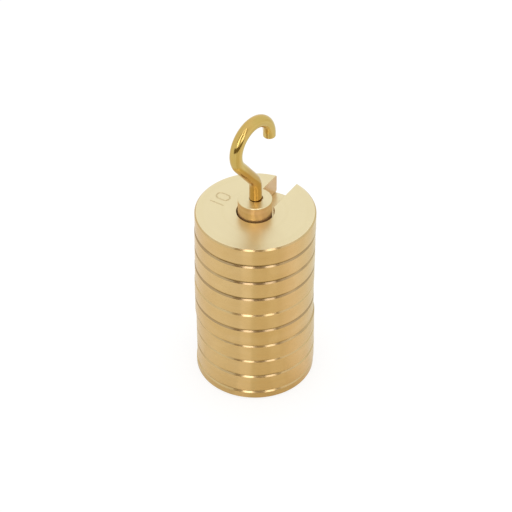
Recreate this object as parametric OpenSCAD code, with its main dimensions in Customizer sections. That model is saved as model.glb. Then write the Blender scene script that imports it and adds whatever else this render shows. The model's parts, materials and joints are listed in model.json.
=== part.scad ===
// Slotted weight set: nine keyhole-slotted brass discs stacked on a hanger.
// Millimetres, +Z up. The origin is the centre of the base plate's underside,
// and the top weight's slot opens towards +Y.

/* [Weights] */
// Number of weights on the hanger
weight_count = 9; // [1:1:9]
// Diameter of every weight
weight_d = 22; // [18:0.1:30]
// Thickness of one weight
weight_t = 3.83; // [3:0.01:6]
// Film of air between two stacked faces
seat_gap = 0.03; // [0:0.01:0.1]
// Width of the edge break on the weights' and the base plate's rims
rim_break = 0.25; // [0.05:0.01:0.4]
// Diameter of the bore in the middle of each weight
bore_d = 6.9; // [6:0.1:9]
// Clearance on each side of the stem in a slot
slot_gap = 0.7; // [0.3:0.05:1]

/* [Number on each weight] */
// Height of the engraved digits
digit_h = 2.9; // [2:0.1:3.5]
// Width of the engraved nought
digit_w = 1.9; // [1.4:0.1:2.4]
// Width of an engraved stroke
stroke_w = 0.28; // [0.2:0.01:0.4]
// Depth of an engraved stroke
stroke_depth = 0.12; // [0.05:0.01:0.3]
// Distance between the middles of the two digits
digit_pitch = 2.1; // [1.8:0.1:3]
// Distance of the nought from the middle of the disc, along the slot
nought_offset = 0.27; // [-1:0.01:2]
// Distance of the digits inwards from the middle between the bore and the rim
number_inset = 0.13; // [-0.5:0.01:0.5]

/* [Hanger base and stem] */
// Distance from the weights' rims in to the base plate's rim
base_inset = 0; // [0:0.1:3]
// Thickness of the base plate
base_t = 1.7; // [1.2:0.1:4]
// Diameter of the stem between the base plate and the collar
stem_d = 3; // [2.4:0.1:3.6]
// Width of the shoulder at each end of the stem
stem_shoulder = 0.3; // [0.2:0.05:0.5]

/* [Collar] */
// Clearance all round the collar in the top weight's bore
collar_gap = 0.35; // [0.1:0.05:0.5]
// Height of the collar above the top weight
collar_rise = 3; // [2:0.1:6]
// Width of the edge break at both ends of the collar
collar_break = 0.12; // [0.05:0.01:0.4]
// Gap between the collar and the weight below the top one
collar_lift = 0.3; // [0.1:0.05:0.8]
// Solid metal between the stem's hole and the hook's hole
collar_web = 0.95; // [0.5:0.05:1.5]
// Depth of the counterbore around the hook's foot
mouth_depth = 0.4; // [0.3:0.1:1.5]
// Clearance around the hook's foot in the counterbore
mouth_gap = 0.13; // [0.1:0.01:0.4]
// Distance from the hook's foot to the middle of the counterbore
mouth_offset = 0.12; // [0:0.01:0.2]
// Direction in which the counterbore is off centre
mouth_heading = 0; // [-180:5:180]

/* [Hook] */
// Diameter of the hook's wire
wire_d = 2.3; // [1.6:0.1:2.8]
// Depth of the hook's foot in the collar
foot_depth = 3; // [2:0.1:3.6]
// Distance of the hook's foot from the stem's axis, within the hook's plane
foot_offset = 0.2; // [0:0.05:0.3]
// Direction in which the hook's tip lies
hook_heading = 83; // [0:1:359]
// Straight length of wire above the collar
foot_rise = 2.5; // [0.5:0.1:6]
// Radius of the lower bend, on the wire's centre line
neck_r = 4; // [2.5:0.1:6]
// Slope of the neck: sideways travel for each millimetre upwards
neck_slope = 0.75; // [0.4:0.05:1.1]
// Straight length of the neck
neck_len = 6.1; // [3:0.1:9]
// Radius of the hook's eye, on the wire's centre line
eye_r = 4.6; // [3.6:0.1:7]
// Straight length at the hook's tip, which points down
tip_len = 0.7; // [0.3:0.1:3]

/* [Hidden] */
$fn = 96;
cut = 1;
pitch = weight_t + seat_gap;
base_d = weight_d - 2 * base_inset;
stack_top = base_t + weight_count * pitch;
slot_w = stem_d + 2 * slot_gap;
collar_d = bore_d - 2 * collar_gap;
collar_bottom = stack_top - pitch + collar_lift;
collar_len = pitch + collar_rise - collar_lift;
collar_top = collar_bottom + collar_len;
spigot_d = stem_d - 2 * stem_shoulder;
spigot_depth = collar_len - foot_depth - collar_web;
mouth_d = wire_d + 2 * mouth_gap;
number_y = (bore_d + weight_d) / 4 - number_inset;
neck_angle = atan(neck_slope);
// Turns of the slots from the top weight's slot, from the top weight down
slot_turns = [0, 75, 30, 95, 50, 10, 85, 40, 100];
// Sideways drift of each weight within its clearance, from the top weight down
drifts = [
    [0.05, 0.09], [0.04, -0.03], [0.05, -0.08], [0.03, -0.14], [-0.05, -0.15],
    [-0.04, -0.12], [0.07, 0.04], [0.03, 0.12], [0.07, 0.1]
];

turned_brass = [0.86, 0.75, 0.52];
bright_brass = [0.80, 0.62, 0.28];

function slot_heading(level) = 90 + slot_turns[weight_count - level];

// A disc as it comes off the lathe, with both rims broken
module turned_disc(d, t, edge) {
    rotate_extrude()
        polygon([
            [0, 0],
            [d / 2 - edge, 0],
            [d / 2, edge],
            [d / 2, t - edge],
            [d / 2 - edge, t],
            [0, t]
        ]);
}

// One stroke with round ends, standing on the origin
module stroke(length) {
    translate([0, stroke_w / 2])
        circle(d = stroke_w);
    translate([-stroke_w / 2, stroke_w / 2])
        square([stroke_w, length - stroke_w]);
    translate([0, length - stroke_w / 2])
        circle(d = stroke_w);
}

// A tall oval with straight sides, centred on the origin
module oval(w, h) {
    straight = h - w;
    for (side = [-1, 1])
        translate([0, side * straight / 2])
            circle(d = w);
    square([w, straight], center = true);
}

module nought() {
    difference() {
        oval(digit_w, digit_h);
        oval(digit_w - 2 * stroke_w, digit_h - 2 * stroke_w);
    }
}

// The plain number 10 in a line beside the slot, its tops towards the rim
module number_cut() {
    translate([0, 0, weight_t - stroke_depth])
        linear_extrude(stroke_depth + cut) {
            translate([nought_offset - digit_pitch, number_y - digit_h / 2])
                stroke(digit_h);
            translate([nought_offset, number_y])
                nought();
        }
}

// A weight lying on z = 0, with its slot towards +X
module slotted_disc() {
    difference() {
        turned_disc(weight_d, weight_t, rim_break);
        translate([0, 0, -cut])
            cylinder(d = bore_d, h = weight_t + 2 * cut);
        translate([0, -slot_w / 2, -cut])
            cube([weight_d, slot_w, weight_t + 2 * cut]);
        number_cut();
    }
}

module weight(level) {
    color(turned_brass)
        translate(drifts[weight_count - level])
            translate([0, 0, base_t + level * pitch - weight_t])
                rotate([0, 0, slot_heading(level)])
                    slotted_disc();
}

module base_plate() {
    color(turned_brass)
        difference() {
            turned_disc(base_d, base_t, rim_break);
            translate([0, 0, -cut])
                cylinder(d = spigot_d, h = base_t + 2 * cut);
        }
}

// The rod, with a spigot at each end: one riveted through the base plate,
// the other in the collar
module stem() {
    color(bright_brass) {
        cylinder(d = spigot_d, h = collar_bottom + spigot_depth);
        translate([0, 0, base_t])
            cylinder(d = stem_d, h = collar_bottom - base_t);
    }
}

// Places the hook's foot, standing on the collar's top
module at_hook_foot() {
    translate([0, 0, collar_top])
        rotate([0, 0, hook_heading])
            translate([foot_offset, 0, 0])
                children();
}

// The thick end of the hanger, which centres the top weight
module collar() {
    color(bright_brass)
        difference() {
            translate([0, 0, collar_bottom])
                turned_disc(collar_d, collar_len, collar_break);
            translate([0, 0, collar_bottom - cut])
                cylinder(d = spigot_d, h = spigot_depth + cut);
            at_hook_foot()
                translate([0, 0, -foot_depth])
                    cylinder(d = wire_d, h = foot_depth + cut);
            at_hook_foot()
                rotate([0, 0, mouth_heading - hook_heading])
                    translate([mouth_offset, 0, -mouth_depth])
                        cylinder(d = mouth_d, h = mouth_depth + cut);
        }
}

// A bend of the wire about the origin, in the plane y = 0, starting on +X
// and turning towards +Z
module wire_bend(bend_r, sweep) {
    rotate([90, 0, 0])
        rotate_extrude(angle = sweep)
            translate([bend_r, 0])
                circle(d = wire_d);
}

// The eye about its own centre: a first arc that brings the sloping neck
// upright, a half circle over the top and the straight tip
module hook_eye() {
    mirror([1, 0, 0])
        wire_bend(eye_r, neck_angle);
    rotate([0, neck_angle, 0]) {
        wire_bend(eye_r, 180);
        translate([eye_r, 0, -tip_len])
            cylinder(d = wire_d, h = tip_len);
    }
}

module hook() {
    color(bright_brass)
        at_hook_foot() {
            translate([0, 0, -foot_depth])
                cylinder(d = wire_d, h = foot_depth + foot_rise);
            translate([-neck_r, 0, foot_rise]) {
                wire_bend(neck_r, neck_angle);
                rotate([0, -neck_angle, 0]) {
                    translate([neck_r, 0, 0])
                        cylinder(d = wire_d, h = neck_len);
                    translate([neck_r + eye_r, 0, neck_len])
                        hook_eye();
                }
            }
        }
}

base_plate();
stem();
collar();
hook();
for (level = [1 : weight_count])
    weight(level);
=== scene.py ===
"""Slotted weight set: nine brass weights with keyhole slots, on a hanger with a wire hook."""
import json
import math

import bmesh
import bpy
from mathutils import Matrix, Vector


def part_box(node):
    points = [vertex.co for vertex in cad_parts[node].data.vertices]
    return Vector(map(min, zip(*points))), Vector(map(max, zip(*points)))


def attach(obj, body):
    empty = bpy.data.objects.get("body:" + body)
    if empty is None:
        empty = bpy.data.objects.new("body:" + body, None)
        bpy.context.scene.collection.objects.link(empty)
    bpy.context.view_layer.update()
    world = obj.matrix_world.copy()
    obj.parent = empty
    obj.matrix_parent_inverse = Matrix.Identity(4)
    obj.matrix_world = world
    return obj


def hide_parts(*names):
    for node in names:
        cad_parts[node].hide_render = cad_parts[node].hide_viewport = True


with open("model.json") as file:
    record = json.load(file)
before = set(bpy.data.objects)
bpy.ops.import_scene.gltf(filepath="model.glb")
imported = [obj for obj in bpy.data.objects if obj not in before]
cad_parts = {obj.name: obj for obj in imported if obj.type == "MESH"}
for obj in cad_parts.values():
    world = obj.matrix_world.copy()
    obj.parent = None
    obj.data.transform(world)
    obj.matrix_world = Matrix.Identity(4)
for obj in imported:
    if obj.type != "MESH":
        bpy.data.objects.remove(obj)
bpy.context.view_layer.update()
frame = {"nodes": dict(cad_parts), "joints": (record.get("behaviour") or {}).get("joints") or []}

MM = 0.001
TURN = 2 * math.pi

# Count and heights that the frame gives
WEIGHT_COUNT = sum(name.startswith("weight_") for name in frame["nodes"])
WEIGHT_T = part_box("weight_1")[1].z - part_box("weight_1")[0].z
BASE_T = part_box("base_plate")[1].z
COLLAR_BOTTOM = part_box("collar")[0].z
COLLAR_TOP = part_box("collar")[1].z
STACK_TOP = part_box(f"weight_{WEIGHT_COUNT}")[1].z
HOOK_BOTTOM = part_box("hook")[0].z
STEM_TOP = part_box("stem")[1].z

# Weights and base plate
WEIGHT_R = 11 * MM
BORE_R = 3.45 * MM
SLOT_HALF = 2.2 * MM
RIM_BREAK = 0.25 * MM
BORE_BREAK = 0.08 * MM
RIM_STEPS = 288

# Number on each weight
DIGIT_H = 2.9 * MM
DIGIT_W = 1.9 * MM
STROKE_W = 0.28 * MM
STROKE_DEPTH = 0.1 * MM
DIGIT_PITCH = 2.1 * MM
NOUGHT_X = 0.27 * MM
NUMBER_Y = 7.095 * MM
STROKE_SIDES = 16
STROKE_ROWS = 9
NOUGHT_STEPS = 20

# Stem and collar
STEM_R = 1.5 * MM
STEM_STEPS = 64
SPIGOT_R = 1.2 * MM
COLLAR_R = 3.1 * MM
COLLAR_SIDES = 96
COLLAR_BREAK = 0.12 * MM
MOUTH_R = 1.28 * MM
MOUTH_DEPTH = 0.4 * MM
MOUTH_OFFSET = 0.12 * MM
MOUTH_HEADING = 0

# Hook
WIRE_R = 1.15 * MM
WIRE_SIDES = 48
FOOT_OFFSET = 0.2 * MM
HOOK_HEADING = math.radians(83)
FOOT_RISE = 2.5 * MM
NECK_R = 4 * MM
NECK_ANGLE = math.atan(0.75)
NECK_LEN = 6.1 * MM
EYE_R = 4.6 * MM
TIP_LEN = 0.7 * MM
TIP_BREAK = 0.15 * MM
TIP_STEPS = 4
BEND_STEP = math.radians(3)

# Camera, as fitted to the photograph
CAMERA_AZIMUTH = math.radians(32.5)
CAMERA_ELEVATION = math.radians(41.08)
CAMERA_DISTANCE = 425.6 * MM
CAMERA_TARGET = Vector((0, 0, 25.72 * MM))
CAMERA_SIDE_STEP = 0.2 * MM
CAMERA_LENS = 163.56
CAMERA_HEADING = CAMERA_AZIMUTH - TURN / 4

# Distances that count as none, for edges on a circle and for points that are merged
SAME_PLACE = 0.01 * MM
SAME_POINT = 0.001 * MM

# Angles between two faces from which they meet in a crease, in an edge and in a square edge
CREASE = math.radians(30)
SHARP = math.radians(40)
SQUARE = math.radians(60)

# Least upward or downward share of a level face's normal
LEVEL = 0.99

# Finishes of a turned piece, by material slot
FACE, RIM, BREAK, CUT, BORE, ENGRAVED = range(6)

# UV map of the tool marks, and the radius at which it measures millimetres round the axis
TURNING_MAP = "turning"
TURNING_R = 7 * MM

WHITE, BLACK = (1, 1, 1), (0, 0, 0)

# Colours of the brass: the two tones of each finish (the face's paleness partly a painted sheen),
# and those of smudges, of dirt with painted shade in the joints, and of the collar's dull band,
# tarnished and with painted shade
FACE_TONES = (0.81, 0.70, 0.435), (0.83, 0.72, 0.46)
FACE_SMUDGE = (0.80, 0.69, 0.44)
RIM_TONES = (0.69, 0.445, 0.185), (0.745, 0.505, 0.24)
RIM_MARKS = (0.77, 0.53, 0.27)
RIM_SMUDGE = (0.67, 0.43, 0.175)
RIM_GRIME_AND_SHADE = (0.36, 0.22, 0.08)
BREAK_TONES = (0.66, 0.48, 0.26), (0.62, 0.44, 0.22)
BREAK_GRIME_AND_SHADE = (0.45, 0.31, 0.17)
CUT_TONES = (0.82, 0.56, 0.34), (0.77, 0.51, 0.29)
CUT_SMUDGE = (0.74, 0.46, 0.21)
BORE_TONES = (0.62, 0.42, 0.21), (0.70, 0.50, 0.28)
COLLAR_TONES = (0.70, 0.48, 0.22), (0.76, 0.54, 0.28)
COLLAR_SMUDGE = (0.72, 0.47, 0.29)
COLLAR_DULL_AND_SHADE = (0.34, 0.17, 0.06)
ENGRAVED_TONES = (0.68, 0.56, 0.34), (0.75, 0.63, 0.40)
WIRE_TONES = (0.69, 0.49, 0.165), (0.59, 0.385, 0.10)
WIRE_SMUDGE = (0.64, 0.46, 0.155)
WIRE_LOW = (0.55, 0.31, 0.08)

# Share of the rim's colour that the base plate's rim keeps: a painted shade, where it stands on the
# table
BASE_RIM_SHADE_SHARE = 0.92
# Where the dark line of dirt and painted shade above a joint fades out, as the rise from -1 to 1 up
# the rim
JOINT_LINE_FADE = -0.93, -0.85
# Where the collar's dull band, tarnished and with painted shade, sets in and fades, in millimetres
# below the top of the stack
DULL_SHADE_START = 0.06, 0.18
DULL_SHADE_FADE = 0.35, 1.2
# Where the deeper colour of the wire's foot and neck fades, in millimetres above the collar
WIRE_LOW_FADE = 8, 10

# How pale each weight's rim is, and how dark the joint below it is with dirt and painted shade, from
# the top weight down
PALENESS = [0.5, 0.65, 0.9, 0.5, 0.55, 0.3, 0.45, 0.45, 0.3]
JOINT_SHADES = [0.75, 0.65, 0.8, 0.3, 0.85, 0.5, 0.4, 0.42, 0.3]


def make_piece(name, bm, materials):
    """An object at the origin from a finished bmesh."""
    mesh = bpy.data.meshes.new(name)
    bm.to_mesh(mesh)
    bm.free()
    for material in materials:
        mesh.materials.append(material)
    piece = bpy.data.objects.new(name, mesh)
    bpy.context.scene.collection.objects.link(piece)
    return piece


def hang_on(piece, body, node):
    """Makes a finished piece ride on its body and stand for its node."""
    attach(piece, body)
    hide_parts(node)


def spin(bm, geom, centre, axis, angle, steps, closed=False):
    """Spins geometry about an axis through a point, and returns its far end."""
    spun = bmesh.ops.spin(
        bm, geom=geom, cent=centre, axis=axis, dvec=(0, 0, 0), angle=angle, steps=steps,
        use_merge=closed, use_normal_flip=False, use_duplicate=False,
    )
    return spun["geom_last"]


def extrude_along(bm, geom, path):
    """Extrudes a ring of edges by a straight step, and returns its far end."""
    edges = [item for item in geom if isinstance(item, bmesh.types.BMEdge)]
    moved = bmesh.ops.extrude_edge_only(bm, edges=edges)["geom"]
    far_end = [item for item in moved if not isinstance(item, bmesh.types.BMFace)]
    verts = [item for item in far_end if isinstance(item, bmesh.types.BMVert)]
    bmesh.ops.translate(bm, verts=verts, vec=path)
    return far_end


def extrude_up(bm, faces, height):
    """Gives flat faces a thickness."""
    raised = bmesh.ops.extrude_face_region(bm, geom=faces)["geom"]
    verts = [item for item in raised if isinstance(item, bmesh.types.BMVert)]
    bmesh.ops.translate(bm, verts=verts, vec=(0, 0, height))
    bmesh.ops.recalc_face_normals(bm, faces=bm.faces)


def bevel(bm, edges, width, steps=1):
    """Breaks edges with a flat chamfer, or with a rounding of more steps, and returns its faces."""
    broken = bmesh.ops.bevel(
        bm, geom=edges, offset=width, offset_type="OFFSET", segments=steps, profile=0.5,
        affect="EDGES", clamp_overlap=True, material=-1,
    )
    return broken["faces"]


def sharp_edges(bm, least=SHARP):
    """The edges at which two faces meet at an angle."""
    return [edge for edge in bm.edges if edge.is_manifold and edge.calc_face_angle(0) > least]


def off_axis(point):
    """Distance from the Z axis."""
    return Vector(point.xy).length


def edges_about(edges, radius):
    """The level edges that lie on a circle about the Z axis."""
    def on_circle(edge):
        level = abs(edge.verts[0].co.z - edge.verts[1].co.z) < SAME_PLACE
        return level and all(abs(off_axis(vert.co) - radius) < SAME_PLACE for vert in edge.verts)
    return [edge for edge in edges if on_circle(edge)]


def break_edges(bm, edges, width):
    """Chamfers edges, and gives the chamfers their finish."""
    for face in bevel(bm, edges, width):
        face.material_index = BREAK


def set_finishes(bm, rim_r):
    """Gives the faces of a turned piece, but for its chamfers, the finish of their place."""
    for face in bm.faces:
        if face.material_index == BREAK:
            continue
        distance = off_axis(face.calc_center_median())
        if abs(face.normal.z) > LEVEL:
            face.material_index = FACE
        elif distance > rim_r - RIM_BREAK:
            face.material_index = RIM
        elif distance < BORE_R:
            face.material_index = BORE
        else:
            face.material_index = CUT


def shade_by_finish(mesh):
    """Smooth shading, with a crease where the finish changes or two faces meet at an angle."""
    for face in mesh.polygons:
        face.use_smooth = True
    bm = bmesh.new()
    bm.from_mesh(mesh)
    for edge in bm.edges:
        finishes = {face.material_index for face in edge.link_faces}
        edge.smooth = len(finishes) == 1 and edge.calc_face_angle(0) < CREASE
    bm.to_mesh(mesh)
    bm.free()


def add_turning_map(mesh):
    """A UV map in millimetres that runs across the tool marks in U and along them in V."""
    layer = mesh.uv_layers.new(name=TURNING_MAP)
    top = max(vert.co.z for vert in mesh.vertices)
    for face in mesh.polygons:
        middle = face.center
        facing = math.atan2(middle.y, middle.x)
        faces_down = face.normal.z < -0.5
        for corner in face.loop_indices:
            place = mesh.vertices[mesh.loops[corner].vertex_index].co
            turned = Matrix.Rotation(-facing, 3, "Z") @ place
            around = facing + math.atan2(turned.y, turned.x)
            drop = top - place.z
            if face.material_index in (CUT, BORE):
                across = drop
            elif faces_down:
                across = drop - off_axis(place)
            else:
                across = drop + off_axis(place)
            layer.data[corner].uv = (across / MM, around * TURNING_R / MM)


def finish_turned(piece):
    """Shades a turned piece and maps its tool marks."""
    shade_by_finish(piece.data)
    add_turning_map(piece.data)


def open_ring(bm, radius):
    """An arc of edges about the Z axis, which stops at both walls of the slot."""
    start = math.asin(SLOT_HALF / radius)
    vert = bm.verts.new((radius * math.cos(start), SLOT_HALF, 0))
    before = set(bm.edges)
    spin(bm, [vert], (0, 0, 0), (0, 0, 1), TURN - 2 * start, RIM_STEPS)
    return [edge for edge in bm.edges if edge not in before]


def cut_stroke(bm, tool_r):
    """A tube with round ends, for the digit one."""
    upright = Matrix.Rotation(TURN / 4, 4, "X")
    verts = bmesh.ops.create_uvsphere(
        bm, u_segments=STROKE_SIDES, v_segments=STROKE_ROWS, radius=tool_r, matrix=upright,
    )["verts"]
    for vert in verts:
        vert.co.y += math.copysign((DIGIT_H - STROKE_W) / 2, vert.co.y)
    return verts


def cut_nought(bm, tool_r):
    """A tube in a tall oval, for the nought."""
    before = set(bm.verts)
    straight = DIGIT_H - DIGIT_W
    side_x = (DIGIT_W - STROKE_W) / 2
    start = Matrix.Translation((side_x, -straight / 2, 0)) @ Matrix.Rotation(TURN / 4, 4, "X")
    ring = bmesh.ops.create_circle(
        bm, cap_ends=False, segments=STROKE_SIDES, radius=tool_r, matrix=start,
    )["verts"]
    end = [*ring, *{edge for vert in ring for edge in vert.link_edges}]
    for side in (1, -1):
        end = extrude_along(bm, end, (0, side * straight, 0))
        end = spin(bm, end, (0, side * straight / 2, 0), (0, 0, 1), TURN / 2, NOUGHT_STEPS)
    verts = [vert for vert in bm.verts if vert not in before]
    bmesh.ops.remove_doubles(bm, verts=verts, dist=SAME_POINT)
    return [vert for vert in bm.verts if vert not in before]


def number_cutter():
    """The number 10 as tubes at a round-ended tool's depth, its digits' tops towards the rim."""
    bm = bmesh.new()
    tool_r = (STROKE_W ** 2 / 4 + STROKE_DEPTH ** 2) / (2 * STROKE_DEPTH)
    tool_z = WEIGHT_T - STROKE_DEPTH + tool_r
    for digit, x in ((cut_stroke, NOUGHT_X - DIGIT_PITCH), (cut_nought, NOUGHT_X)):
        bmesh.ops.translate(bm, verts=digit(bm, tool_r), vec=(x, NUMBER_Y, tool_z))
    bmesh.ops.recalc_face_normals(bm, faces=bm.faces)
    for face in bm.faces:
        face.material_index = ENGRAVED
    return make_piece("number_cutter", bm, [])


def carve(piece, cutter):
    """Cuts a piece's mesh with another piece, which is then removed."""
    cut = piece.modifiers.new("cut", "BOOLEAN")
    cut.object = cutter
    cut.operation = "DIFFERENCE"
    cut.solver = "EXACT"
    whole = piece.evaluated_get(bpy.context.evaluated_depsgraph_get())
    mesh = bpy.data.meshes.new_from_object(whole)
    piece.modifiers.clear()
    piece.data = mesh
    bpy.data.objects.remove(cutter)


def slotted_disc(materials):
    """A weight with its slot towards +X, standing on z = 0."""
    bm = bmesh.new()
    rings = open_ring(bm, WEIGHT_R) + open_ring(bm, BORE_R)
    bmesh.ops.bridge_loops(bm, edges=rings)
    extrude_up(bm, bm.faces[:], WEIGHT_T)
    break_edges(bm, edges_about(sharp_edges(bm), WEIGHT_R), RIM_BREAK)
    break_edges(bm, sharp_edges(bm, SQUARE), BORE_BREAK)
    set_finishes(bm, WEIGHT_R)
    disc = make_piece("disc", bm, materials)
    carve(disc, number_cutter())
    finish_turned(disc)
    return disc


def slot_heading(level):
    """Direction in which a weight's slot opens: against its slide, or +Y on the top weight."""
    slide = next(joint for joint in frame["joints"] if joint["child"] == f"weight_{level}")
    x, y, z = slide["axis"]
    return TURN / 4 if z > 0.5 else math.atan2(-y, -x)


def weight_place(level):
    """The middle of a weight's underside, from its +X and -Y sides, where no slot opens."""
    low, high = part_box(f"weight_{level}")
    return Vector((high.x - WEIGHT_R, low.y + WEIGHT_R, low.z))


def add_weight_look(mesh, level):
    """Stores what the materials read: how pale this weight is, and at each point how dark the
    nearest joint is and how far up the rim it lies, from -1 to 1."""
    rank = WEIGHT_COUNT - level
    middle = min(vert.co.z for vert in mesh.vertices) + WEIGHT_T / 2
    paleness = mesh.attributes.new("paleness", "FLOAT", "POINT")
    shade = mesh.attributes.new("joint_shade", "FLOAT", "POINT")
    rise = mesh.attributes.new("rise", "FLOAT", "POINT")
    for index, vert in enumerate(mesh.vertices):
        nearest = rank if vert.co.z < middle else rank - 1
        paleness.data[index].value = PALENESS[rank]
        shade.data[index].value = JOINT_SHADES[nearest] if nearest >= 0 else 0
        rise.data[index].value = (vert.co.z - middle) / (WEIGHT_T / 2 - RIM_BREAK)


def make_weights(materials):
    """The weights: one disc, copied to each weight's place with its slot turned."""
    disc = slotted_disc(materials)
    for level in range(1, WEIGHT_COUNT + 1):
        name = f"weight_{level}"
        weight = bpy.data.objects.new(f"{name}_turned", disc.data.copy())
        turned = Matrix.Rotation(slot_heading(level), 4, "Z")
        weight.data.transform(Matrix.Translation(weight_place(level)) @ turned)
        add_weight_look(weight.data, level)
        bpy.context.scene.collection.objects.link(weight)
        hang_on(weight, name, name)
    bpy.data.objects.remove(disc)


def turned_profile(bm, points, steps):
    """Spins a closed outline of (radius, height) points about the Z axis."""
    verts = [bm.verts.new((radius, 0, height)) for radius, height in points]
    edges = [bm.edges.new((verts[i - 1], verts[i])) for i in range(len(verts))]
    spin(bm, verts + edges, (0, 0, 0), (0, 0, 1), TURN, steps, closed=True)
    bmesh.ops.remove_doubles(bm, verts=bm.verts, dist=SAME_POINT)
    bmesh.ops.recalc_face_normals(bm, faces=bm.faces)


def make_base_plate(materials):
    """The thin round plate that carries the weights."""
    bm = bmesh.new()
    outline = [(SPIGOT_R, 0), (WEIGHT_R, 0), (WEIGHT_R, BASE_T), (SPIGOT_R, BASE_T)]
    turned_profile(bm, outline, RIM_STEPS)
    break_edges(bm, edges_about(sharp_edges(bm), WEIGHT_R), RIM_BREAK)
    set_finishes(bm, WEIGHT_R)
    plate = make_piece("base_plate_turned", bm, materials)
    finish_turned(plate)
    hang_on(plate, "hanger", "base_plate")


def make_stem(materials):
    """The rod from the base plate to the collar, with a thinner spigot in each."""
    bm = bmesh.new()
    outline = [
        (0, 0), (SPIGOT_R, 0), (SPIGOT_R, BASE_T), (STEM_R, BASE_T),
        (STEM_R, COLLAR_BOTTOM), (SPIGOT_R, COLLAR_BOTTOM), (SPIGOT_R, STEM_TOP), (0, STEM_TOP),
    ]
    turned_profile(bm, outline, STEM_STEPS)
    set_finishes(bm, STEM_R)
    stem = make_piece("stem_turned", bm, materials)
    finish_turned(stem)
    hang_on(stem, "hanger", "stem")


def ring_at(bm, radius, x, y, z, sides=COLLAR_SIDES):
    """A level ring of vertices and edges."""
    verts = bmesh.ops.create_circle(
        bm, cap_ends=False, segments=sides, radius=radius, matrix=Matrix.Translation((x, y, z)),
    )["verts"]
    return verts, list({edge for vert in verts for edge in vert.link_edges})


def make_collar(materials):
    """The thick end of the hanger, with the mouth and the hook's hole a little off its axis."""
    bm = bmesh.new()
    foot = FOOT_OFFSET * Vector((math.cos(HOOK_HEADING), math.sin(HOOK_HEADING)))
    mouth = foot + MOUTH_OFFSET * Vector((math.cos(MOUTH_HEADING), math.sin(MOUTH_HEADING)))
    mouth_floor = COLLAR_TOP - MOUTH_DEPTH
    sections = [
        (SPIGOT_R, 0, 0, STEM_TOP), (SPIGOT_R, 0, 0, COLLAR_BOTTOM),
        (COLLAR_R, 0, 0, COLLAR_BOTTOM), (COLLAR_R, 0, 0, COLLAR_TOP),
        (MOUTH_R, *mouth, COLLAR_TOP), (MOUTH_R, *mouth, mouth_floor),
        (WIRE_R, *foot, mouth_floor), (WIRE_R, *foot, HOOK_BOTTOM),
    ]
    rings = [ring_at(bm, *section) for section in sections]
    for (_, near), (_, far) in zip(rings, rings[1:]):
        bmesh.ops.bridge_loops(bm, edges=near + far)
    for verts, _ in (rings[0], rings[-1]):
        bmesh.ops.contextual_create(bm, geom=verts)
    bmesh.ops.recalc_face_normals(bm, faces=bm.faces)
    break_edges(bm, edges_about(sharp_edges(bm), COLLAR_R), COLLAR_BREAK)
    set_finishes(bm, COLLAR_R)
    collar = make_piece("collar_turned", bm, materials)
    finish_turned(collar)
    hang_on(collar, "hanger", "collar")


def make_hook(material):
    """The wire, swept from its foot in the collar through the neck and the eye to the tip."""
    bm = bmesh.new()
    foot_z = HOOK_BOTTOM - COLLAR_TOP
    section = bm.verts.layers.float_vector.new("section")
    foot_ring, edges = ring_at(bm, WIRE_R, 0, 0, foot_z, WIRE_SIDES)
    for vert in foot_ring:
        vert[section] = Vector((vert.co.x, vert.co.y, 0)) / WIRE_R
    across = Vector((math.cos(NECK_ANGLE), 0, math.sin(NECK_ANGLE)))
    along = Vector((-math.sin(NECK_ANGLE), 0, math.cos(NECK_ANGLE)))
    neck_centre = Vector((-NECK_R, 0, FOOT_RISE))
    eye_centre = neck_centre + NECK_R * across + NECK_LEN * along + EYE_R * across
    end = extrude_along(bm, foot_ring + edges, (0, 0, FOOT_RISE - foot_z))
    end = spin(bm, end, neck_centre, (0, -1, 0), NECK_ANGLE, round(NECK_ANGLE / BEND_STEP))
    end = extrude_along(bm, end, NECK_LEN * along)
    eye_turn = TURN / 2 + NECK_ANGLE
    end = spin(bm, end, eye_centre, (0, 1, 0), eye_turn, round(eye_turn / BEND_STEP))
    end = extrude_along(bm, end, (0, 0, -TIP_LEN))
    tip_ring = [item for item in end if isinstance(item, bmesh.types.BMVert)]
    for ring in (foot_ring, tip_ring):
        bmesh.ops.contextual_create(bm, geom=ring)
    bmesh.ops.recalc_face_normals(bm, faces=bm.faces)
    tip_edges = [edge for edge in sharp_edges(bm) if edge.verts[0] in set(tip_ring)]
    bevel(bm, tip_edges, TIP_BREAK, TIP_STEPS)
    on_collar = Matrix.Translation((0, 0, COLLAR_TOP)) @ Matrix.Rotation(HOOK_HEADING, 4, "Z")
    in_place = on_collar @ Matrix.Translation((FOOT_OFFSET, 0, 0))
    bmesh.ops.transform(bm, verts=bm.verts, matrix=in_place)
    hook = make_piece("hook_wire", bm, [material])
    for face in hook.data.polygons:
        face.use_smooth = True
    hook.data.set_sharp_from_angle(angle=SHARP)
    hang_on(hook, "hanger", "hook")


def put(tree, kind, links=None, **settings):
    """A new node with its settings. Each input is linked if it is given a socket, or else set."""
    made = tree.nodes.new(kind)
    for name, value in settings.items():
        setattr(made, name, value)
    for name, value in (links or {}).items():
        if isinstance(value, bpy.types.NodeSocket):
            tree.links.new(value, made.inputs[name])
        else:
            made.inputs[name].default_value = value
    return made


def calculate(tree, operation, first, second=0.0):
    """The result of a Math node."""
    return put(tree, "ShaderNodeMath", {0: first, 1: second}, operation=operation).outputs[0]


def blend(tree, amount, none, full):
    """A colour that goes from one to another as the amount goes from 0 to 1."""
    mix = put(tree, "ShaderNodeMix", {"Factor": amount}, data_type="RGBA", clamp_factor=True)
    for socket, colour in ((mix.inputs[6], none), (mix.inputs[7], full)):
        if isinstance(colour, bpy.types.NodeSocket):
            tree.links.new(colour, socket)
        else:
            socket.default_value = (*colour, 1)
    return mix.outputs[2]


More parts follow.
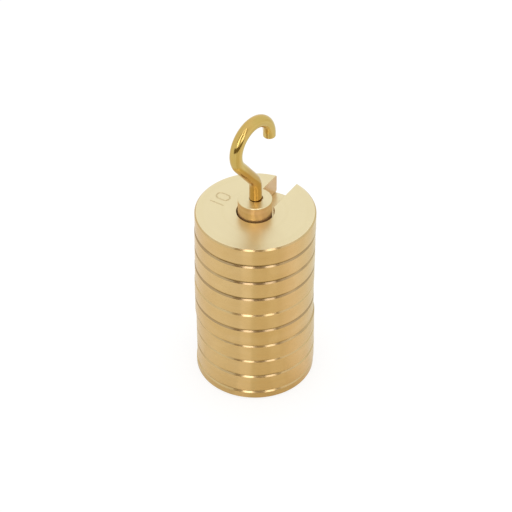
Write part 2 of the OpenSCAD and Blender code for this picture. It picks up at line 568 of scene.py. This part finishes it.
def stretch(tree, value, low, high, new_low=0, new_high=1):
    """A value moved from one range to another, and kept in it."""
    ranges = {"From Min": low, "From Max": high, "To Min": new_low, "To Max": new_high}
    return put(tree, "ShaderNodeMapRange", {"Value": value, **ranges}).outputs[0]


def between(tree, amount, none, full):
    """A value that goes from one to another as the amount goes from 0 to 1."""
    return stretch(tree, amount, 0, 1, none, full)


def noise(tree, place, scale=1.0, detail=2.0, distortion=0.0):
    """Noise over a position."""
    values = {"Vector": place, "Scale": scale, "Detail": detail, "Distortion": distortion}
    return put(tree, "ShaderNodeTexNoise", values).outputs[0]


def noise_along(tree, value, detail):
    """Noise along a single value."""
    values = {"W": value, "Scale": 1.0, "Detail": detail}
    return put(tree, "ShaderNodeTexNoise", values, noise_dimensions="1D").outputs[0]


def stored(tree, name, output="Fac"):
    """What the mesh stores under a name."""
    return put(tree, "ShaderNodeAttribute", attribute_name=name).outputs[output]


def effect(name, inputs, outputs):
    """An empty node group with its sockets, and the tree's ends."""
    tree = bpy.data.node_groups.new(name, "ShaderNodeTree")
    for socket, value in inputs.items():
        made = tree.interface.new_socket(socket, in_out="INPUT", socket_type="NodeSocketFloat")
        made.default_value = value
    for socket in outputs:
        tree.interface.new_socket(socket, in_out="OUTPUT", socket_type="NodeSocketFloat")
    return tree, put(tree, "NodeGroupInput").outputs, put(tree, "NodeGroupOutput").inputs


def in_millimetres(tree, scale=(1, 1, 1)):
    """The piece's own coordinates in millimetres, each scaled."""
    place = put(tree, "ShaderNodeTexCoord").outputs["Object"]
    factors = [share / MM for share in scale]
    return put(tree, "ShaderNodeVectorMath", {0: place, 1: factors}, operation="MULTIPLY").outputs[0]


def height_of(tree):
    """The height above the base plate's underside, in millimetres."""
    return put(tree, "ShaderNodeSeparateXYZ", {0: in_millimetres(tree)}).outputs["Z"]


def turning_marks():
    """Tool marks of a lathe: rings on a face, others at each height, and lines round a rim."""
    height_share, broad_share = 1.37, 0.13
    tree, given, out = effect("turning_marks", {"Spacing": 0.2}, ["Height", "Tone"])
    level = in_millimetres(tree, (1, 1, 0))
    radius = put(tree, "ShaderNodeVectorMath", {0: level}, operation="LENGTH").outputs["Value"]
    rise = calculate(tree, "MULTIPLY", height_of(tree), height_share)
    across = calculate(tree, "ADD", radius, rise)
    marks = calculate(tree, "DIVIDE", across, given["Spacing"])
    broad = calculate(tree, "MULTIPLY", marks, broad_share)
    tree.links.new(noise_along(tree, marks, 4.0), out["Height"])
    tree.links.new(stretch(tree, noise_along(tree, broad, 2.0), 0.3, 0.7), out["Tone"])
    return tree


def handling():
    """Faint smudges of fingers and cloth, and a fine uneven grain."""
    tree, given, out = effect("handling", {"Size": 4.0}, ["Smudge", "Grain"])
    place = in_millimetres(tree)
    rate = calculate(tree, "DIVIDE", 1.0, given["Size"])
    cloud = noise(tree, place, scale=rate, detail=3.0, distortion=0.6)
    grain = noise(tree, place, scale=3.0, detail=5.0)
    tree.links.new(stretch(tree, cloud, 0.35, 0.65), out["Smudge"])
    tree.links.new(stretch(tree, grain, 0.3, 0.7), out["Grain"])
    return tree


def joint_grime_and_shade():
    """Dark polish left in the joints and painted shade in their gaps, in stretches where a joint is
    only partly dark.
    """
    tree, _, out = effect("joint_grime_and_shade", {}, ["Grime"])
    patches = noise(tree, in_millimetres(tree), scale=0.22)
    more_or_less = calculate(tree, "SUBTRACT", patches, 0.5)
    uneven = calculate(tree, "ADD", stored(tree, "joint_shade"), more_or_less)
    tree.links.new(stretch(tree, uneven, 0.35, 0.75), out["Grime"])
    return tree


def drawn_streaks():
    """Streaks along a drawn wire, which change quickly round it and slowly along it."""
    tree, _, out = effect("drawn_streaks", {}, ["Height", "Tone"])
    section = stored(tree, "section", "Vector")
    slowly = in_millimetres(tree, (0.12, 0.12, 0.12))
    for socket, rate in (("Height", 7.0), ("Tone", 1.6)):
        scaled = put(tree, "ShaderNodeVectorMath", {0: section, 3: rate}, operation="SCALE")
        place = put(tree, "ShaderNodeVectorMath", {0: scaled.outputs[0], 1: slowly}).outputs[0]
        tree.links.new(stretch(tree, noise(tree, place), 0.3, 0.7), out[socket])
    return tree


def use(tree, group, **values):
    """A group placed in a material, with its values."""
    node = put(tree, "ShaderNodeGroup", node_tree=group)
    for name, value in values.items():
        node.inputs[name].default_value = value
    return node.outputs


def new_metal(name, streaks=0.0):
    """A metal's material, tree and shader. Streaks stretch its highlights across the tool marks."""
    material = bpy.data.materials.new(name)
    material.use_nodes = True
    tree = material.node_tree
    shader = tree.nodes["Principled BSDF"]
    shader.inputs["Metallic"].default_value = 1
    if streaks:
        shader.inputs["Anisotropic"].default_value = streaks
        tangent = put(tree, "ShaderNodeTangent", direction_type="UV_MAP", uv_map=TURNING_MAP)
        tree.links.new(tangent.outputs[0], shader.inputs["Tangent"])
    return material, tree, shader


def smudged(tree, hands, share, clean, smudge):
    """A clean colour with smudges of another, at a share of their strength."""
    return blend(tree, calculate(tree, "MULTIPLY", hands["Smudge"], share), clean, smudge)


def finish_metal(tree, shader, colour, roughness, height, depth):
    """Feeds a metal's colour, its roughness, and a relief with its depth."""
    tree.links.new(colour, shader.inputs["Base Color"])
    tree.links.new(roughness, shader.inputs["Roughness"])
    bump = put(tree, "ShaderNodeBump", {"Height": height, "Distance": depth, "Strength": 1.0})
    tree.links.new(bump.outputs[0], shader.inputs["Normal"])


def face_brass(groups):
    """Flat turned faces: satin, with rings, and pale partly from a painted sheen of the light on
    them.
    """
    material, tree, shader = new_metal("turned_face")
    marks = use(tree, groups["marks"], Spacing=0.16)
    hands = use(tree, groups["hands"], Size=5.0)
    rings = blend(tree, marks["Tone"], *FACE_TONES)
    colour = smudged(tree, hands, 0.5, rings, FACE_SMUDGE)
    roughness = between(tree, hands["Smudge"], 0.32, 0.36)
    finish_metal(tree, shader, colour, roughness, marks["Height"], 0.0012 * MM)
    return material


def rim_brass(groups, name="turned_rim", dimming=1.0):
    """Turned rims: deeper and smoother, with a dark line of dirt and painted shade above each joint,
    and each a little different in tone."""
    material, tree, shader = new_metal(name, streaks=0.75)
    marks = use(tree, groups["marks"], Spacing=0.3)
    hands = use(tree, groups["hands"], Size=3.5)
    ground = blend(tree, stored(tree, "paleness"), *RIM_TONES)
    marked = blend(tree, calculate(tree, "MULTIPLY", marks["Tone"], 0.35), ground, RIM_MARKS)
    handled = smudged(tree, hands, 0.4, marked, RIM_SMUDGE)
    above_joint = stretch(tree, stored(tree, "rise"), *JOINT_LINE_FADE, 1, 0)
    line = calculate(tree, "MULTIPLY", above_joint, use(tree, groups["grime_and_shade"])["Grime"])
    # The dark line above a joint is dirt with painted shade
    colour = blend(tree, dimming, BLACK, blend(tree, line, handled, RIM_GRIME_AND_SHADE))
    roughness = between(tree, hands["Smudge"], 0.2, 0.26)
    finish_metal(tree, shader, colour, roughness, marks["Height"], 0.0008 * MM)
    return material


def break_brass(groups):
    """Broken edges: polished by handling, and darker in the joints with dirt and painted shade."""
    material, tree, shader = new_metal("broken_edge")
    hands = use(tree, groups["hands"], Size=3.0)
    clean = blend(tree, hands["Smudge"], *BREAK_TONES)
    # Dirt with painted shade darkens the chamfers in the joints
    colour = blend(tree, use(tree, groups["grime_and_shade"])["Grime"], clean, BREAK_GRIME_AND_SHADE)
    roughness = between(tree, hands["Grain"], 0.12, 0.2)
    finish_metal(tree, shader, colour, roughness, hands["Grain"], 0.001 * MM)
    return material


def cut_brass(groups):
    """Walls of the slots: rosier and satin, with faint marks of the cutter."""
    material, tree, shader = new_metal("milled_wall")
    marks = use(tree, groups["marks"], Spacing=0.12)
    hands = use(tree, groups["hands"], Size=2.0)
    shader.inputs["Metallic"].default_value = 0.7
    bright = blend(tree, marks["Tone"], *CUT_TONES)
    colour = smudged(tree, hands, 0.5, bright, CUT_SMUDGE)
    roughness = between(tree, hands["Smudge"], 0.28, 0.34)
    finish_metal(tree, shader, colour, roughness, hands["Smudge"], 0.001 * MM)
    return material


def bore_brass(groups):
    """Walls of the bores: duller and browner, where no cloth reaches."""
    material, tree, shader = new_metal("bored_wall")
    hands = use(tree, groups["hands"], Size=1.5)
    colour = blend(tree, hands["Smudge"], *BORE_TONES)
    tree.links.new(between(tree, hands["Grain"], 0.6, 0.8), shader.inputs["Metallic"])
    roughness = between(tree, hands["Grain"], 0.35, 0.5)
    finish_metal(tree, shader, colour, roughness, hands["Grain"], 0.001 * MM)
    return material


def collar_brass(groups):
    """The collar's side: bright, with a dull band of tarnish and painted shade where it enters the
    top weight.
    """
    material, tree, shader = new_metal("collar_side")
    marks = use(tree, groups["marks"], Spacing=0.2)
    hands = use(tree, groups["hands"], Size=1.6)
    below_top = calculate(tree, "SUBTRACT", STACK_TOP / MM, height_of(tree))
    # A dull band of tarnish with painted shade, where the collar enters the top weight's bore
    starts = stretch(tree, below_top, *DULL_SHADE_START)
    fades = stretch(tree, below_top, *DULL_SHADE_FADE, 1, 0.2)
    dull = calculate(tree, "MULTIPLY", starts, fades)
    bright = blend(tree, marks["Tone"], *COLLAR_TONES)
    rosy = smudged(tree, hands, 0.6, bright, COLLAR_SMUDGE)
    colour = blend(tree, dull, rosy, COLLAR_DULL_AND_SHADE)
    tree.links.new(between(tree, dull, 1, 0.2), shader.inputs["Metallic"])
    roughness = between(tree, dull, 0.45, 0.6)
    finish_metal(tree, shader, colour, roughness, marks["Height"], 0.0015 * MM)
    return material


def engraved_brass(groups):
    """Floors of the engraved strokes: duller than the face."""
    material, tree, shader = new_metal("engraved")
    hands = use(tree, groups["hands"], Size=0.8)
    colour = blend(tree, hands["Grain"], *ENGRAVED_TONES)
    roughness = between(tree, hands["Smudge"], 0.4, 0.5)
    finish_metal(tree, shader, colour, roughness, hands["Grain"], 0.004 * MM)
    return material


def wire_brass(groups):
    """Bright drawn wire: yellower, with streaks along it, and deeper in its foot and neck."""
    material, tree, shader = new_metal("drawn_wire")
    streaks = use(tree, groups["streaks"])
    hands = use(tree, groups["hands"], Size=2.5)
    drawn = blend(tree, streaks["Tone"], *WIRE_TONES)
    handled = smudged(tree, hands, 0.5, drawn, WIRE_SMUDGE)
    above_collar = calculate(tree, "SUBTRACT", height_of(tree), COLLAR_TOP / MM)
    low = stretch(tree, above_collar, *WIRE_LOW_FADE, 0.7, 0)
    colour = blend(tree, low, handled, WIRE_LOW)
    roughness = between(tree, hands["Grain"], 0.1, 0.16)
    finish_metal(tree, shader, colour, roughness, streaks["Height"], 0.004 * MM)
    return material


# Tone of the surroundings in reflections, by degrees to the right of the photograph's viewpoint
# In reflections these tones are a painted shade of the set on the table and the studio, dimmer and
# warmer in front
ROOM_TONES = {
    -180: (1.0, 1.0, 1.0), -134: (0.93, 0.93, 0.86), -60: (0.93, 0.96, 0.89),
    -30: (0.88, 0.90, 0.83), -24: (0.86, 0.88, 0.81), -21: (0.95, 0.97, 0.90),
    -7: (0.93, 0.94, 0.84), -4: (0.81, 0.81, 0.66), 6: (0.80, 0.77, 0.60),
    20: (0.80, 0.77, 0.60), 23: (0.85, 0.83, 0.67), 37: (0.86, 0.84, 0.69),
    40: (0.83, 0.80, 0.65), 55: (0.93, 0.90, 0.80), 73: (0.97, 0.97, 0.92),
    94: (0.93, 0.97, 0.92), 134: (0.88, 0.94, 0.86), 180: (1.0, 1.0, 1.0),
}
# Upward share of a direction over which those tones give way to white
ROOM_FADE = 0.7, 0.95

# How much of the table's white glows and how much is lit, where it is seen and in reflections
TABLE_GLOW, GLOW_IN_METAL = 0.75, 0.55
TABLE_LIT, LIT_IN_METAL = 0.3, 0.45
TABLE_HALF = 3
TABLE_DROP = 0.05 * MM

# Lamps: azimuths to the right of the viewpoint, and the strengths of the low and the high part
LAMPS = {"key": ((-23, -4), 3.0, 2.6), "side": ((21, 39), 2.2, 2.1)}
LAMP_DISTANCE = 500 * MM
LAMP_ELEVATIONS = (15, 38, 75)

# Two dim cards: azimuths, colour and strength, and where each stands
DARK_CARD = {"azimuths": (-50, 50), "colour": (1, 0.8, 0.4), "strength": 0.2}
DARK_CARD_DISTANCE = 300 * MM
DARK_CARD_TOP = 97 * MM
DIM_CARD = {"azimuths": (-42, 49), "colour": (1, 0.85, 0.6), "strength": 0.45}
DIM_CARD_DISTANCE = 550 * MM
DIM_CARD_ELEVATIONS = (30, 65)
CARD_STEPS = 24


def room_tones():
    """The tone of the surroundings in a direction: paler behind the set, dimmer in front."""
    tree = bpy.data.node_groups.new("room_tones", "ShaderNodeTree")
    tree.interface.new_socket("Direction", in_out="INPUT", socket_type="NodeSocketVector")
    tree.interface.new_socket("Tone", in_out="OUTPUT", socket_type="NodeSocketColor")
    given, out = put(tree, "NodeGroupInput").outputs, put(tree, "NodeGroupOutput").inputs
    place = put(tree, "ShaderNodeSeparateXYZ", {0: given["Direction"]}).outputs
    angle = calculate(tree, "ARCTAN2", place["Y"], place["X"])
    offset = calculate(tree, "SUBTRACT", angle, CAMERA_HEADING)
    turns = calculate(tree, "DIVIDE", offset, TURN)
    share = calculate(tree, "FRACT", calculate(tree, "ADD", turns, 1.5))
    ramp = put(tree, "ShaderNodeValToRGB", {"Fac": share})
    stops = ramp.color_ramp.elements
    stops.remove(stops[-1])
    for degrees, tone in ROOM_TONES.items():
        position = (degrees + 180) / 360
        stop = stops[0] if position == 0 else stops.new(position)
        stop.color = (*tone, 1)
    tree.links.new(ramp.outputs[0], out["Tone"])
    return tree


def table_material(room):
    """White where it is seen, with the set's shadow, and open from below."""
    material = bpy.data.materials.new("table")
    material.use_nodes = True
    tree = material.node_tree
    tree.nodes.clear()
    path = put(tree, "ShaderNodeLightPath").outputs
    in_metal = path["Is Glossy Ray"]
    seen = calculate(tree, "MAXIMUM", path["Is Camera Ray"], path["Is Transmission Ray"])
    place = put(tree, "ShaderNodeTexCoord").outputs["Object"]
    tone = put(tree, "ShaderNodeGroup", {"Direction": place}, node_tree=room).outputs["Tone"]
    # In metal the table shows the room's tones: a painted shade, dimmer and warmer in front of the
    # set
    colour = blend(tree, in_metal, WHITE, tone)
    seen_glow = calculate(tree, "MULTIPLY", seen, TABLE_GLOW)
    mirrored_glow = calculate(tree, "MULTIPLY", in_metal, GLOW_IN_METAL)
    strength = calculate(tree, "MAXIMUM", seen_glow, mirrored_glow)
    glow = put(tree, "ShaderNodeEmission", {"Color": colour, "Strength": strength})
    lit_share = between(tree, in_metal, TABLE_LIT, LIT_IN_METAL)
    lit = put(tree, "ShaderNodeBsdfDiffuse", {"Color": blend(tree, lit_share, BLACK, colour)})
    both = put(tree, "ShaderNodeAddShader", {0: glow.outputs[0], 1: lit.outputs[0]})
    back = put(tree, "ShaderNodeNewGeometry").outputs["Backfacing"]
    clear = put(tree, "ShaderNodeBsdfTransparent")
    surface = put(tree, "ShaderNodeMixShader", {0: back, 1: both.outputs[0], 2: clear.outputs[0]})
    put(tree, "ShaderNodeOutputMaterial", {"Surface": surface.outputs[0]})
    return material


def make_world(room):
    """A white studio, whose lower part the metal mirrors with the tones of the room."""
    world = bpy.data.worlds.new("studio")
    bpy.context.scene.world = world
    world.use_nodes = True
    tree = world.node_tree
    direction = put(tree, "ShaderNodeTexCoord").outputs["Generated"]
    height = put(tree, "ShaderNodeSeparateXYZ", {0: direction}).outputs["Z"]
    tone = put(tree, "ShaderNodeGroup", {"Direction": direction}, node_tree=room).outputs["Tone"]
    in_metal = put(tree, "ShaderNodeLightPath").outputs["Is Glossy Ray"]
    lower = stretch(tree, height, *ROOM_FADE, 1, 0)
    colour = blend(tree, calculate(tree, "MULTIPLY", in_metal, lower), WHITE, tone)
    tree.links.new(colour, tree.nodes["Background"].inputs["Color"])


def glowing(name, colour, strength):
    """A material that only gives light."""
    material = bpy.data.materials.new(name)
    material.use_nodes = True
    tree = material.node_tree
    tree.nodes.clear()
    light = put(tree, "ShaderNodeEmission", {"Color": (*colour, 1), "Strength": strength})
    put(tree, "ShaderNodeOutputMaterial", {"Surface": light.outputs[0]})
    return material


def studio_card(name, azimuths, lower, upper, colour, strength):
    """A curved card about the set that only its metal mirrors, between two azimuths to the right
    of the viewpoint, and between a lower and an upper (distance, height) point."""
    bm = bmesh.new()
    verts = [bm.verts.new((distance, 0, height)) for distance, height in (lower, upper)]
    edge = bm.edges.new(verts)
    start, stop = (CAMERA_HEADING + math.radians(angle) for angle in azimuths)
    bmesh.ops.rotate(bm, verts=verts, cent=(0, 0, 0), matrix=Matrix.Rotation(start, 3, "Z"))
    spin(bm, [*verts, edge], (0, 0, 0), (0, 0, 1), stop - start, CARD_STEPS)
    card = make_piece(name, bm, [glowing(name, colour, strength)])
    card.visible_camera = False
    card.visible_diffuse = False
    card.visible_shadow = False


def at_height(distance, elevation):
    """A (distance, height) point at an elevation seen from the foot of the collar."""
    angle = math.radians(elevation)
    return distance * math.cos(angle), COLLAR_BOTTOM + distance * math.sin(angle)


def make_stage():
    """The table, the studio round it, two dim cards and the lamps."""
    bm = bmesh.new()
    bmesh.ops.create_grid(bm, x_segments=1, y_segments=1, size=TABLE_HALF)
    bmesh.ops.translate(bm, verts=bm.verts, vec=(0, 0, -TABLE_DROP))
    room = room_tones()
    make_piece("table", bm, [table_material(room)])
    make_world(room)
    lower, upper = (DARK_CARD_DISTANCE, 0), (DARK_CARD_DISTANCE, DARK_CARD_TOP)
    studio_card("dark_card", lower=lower, upper=upper, **DARK_CARD)
    lower, upper = (at_height(DIM_CARD_DISTANCE, angle) for angle in DIM_CARD_ELEVATIONS)
    studio_card("dim_card", lower=lower, upper=upper, **DIM_CARD)
    lower, middle, upper = (at_height(LAMP_DISTANCE, angle) for angle in LAMP_ELEVATIONS)
    for name, (azimuths, low_strength, high_strength) in LAMPS.items():
        studio_card(f"{name}_lamp_low", azimuths, lower, middle, WHITE, low_strength)
        studio_card(f"{name}_lamp_high", azimuths, middle, upper, WHITE, high_strength)


def make_camera():
    """The photograph's viewpoint."""
    camera = bpy.data.objects.new("camera", bpy.data.cameras.new("camera"))
    bpy.context.scene.collection.objects.link(camera)
    bpy.context.scene.camera = camera
    level = Vector((math.sin(CAMERA_AZIMUTH), -math.cos(CAMERA_AZIMUTH), 0))
    side = Vector((math.cos(CAMERA_AZIMUTH), math.sin(CAMERA_AZIMUTH), 0))
    back = math.cos(CAMERA_ELEVATION) * level
    back.z = math.sin(CAMERA_ELEVATION)
    camera.location = CAMERA_TARGET + CAMERA_DISTANCE * back + CAMERA_SIDE_STEP * side
    camera.rotation_mode = "QUATERNION"
    camera.rotation_quaternion = (-back).to_track_quat("-Z", "Y")
    camera.data.lens = CAMERA_LENS
    camera.data.clip_start = 0.01
    camera.data.clip_end = 20


make_camera()
make_stage()
groups = {
    "marks": turning_marks(),
    "hands": handling(),
    "grime_and_shade": joint_grime_and_shade(),
    "streaks": drawn_streaks(),
}
finishes = (face_brass, rim_brass, break_brass, cut_brass, bore_brass, engraved_brass)
turned = [finish(groups) for finish in finishes]
make_weights(turned)
# The base plate's rim is dimmed: a painted shade beside the table
make_base_plate([turned[FACE], rim_brass(groups, "base_rim", BASE_RIM_SHADE_SHARE), *turned[BREAK:]])
make_stem(turned)
# The collar's broken edges are as pale as its flat faces
make_collar([turned[FACE], collar_brass(groups), turned[FACE], *turned[CUT:]])
make_hook(wire_brass(groups))

scene = bpy.context.scene
scene.view_settings.view_transform = "Standard"
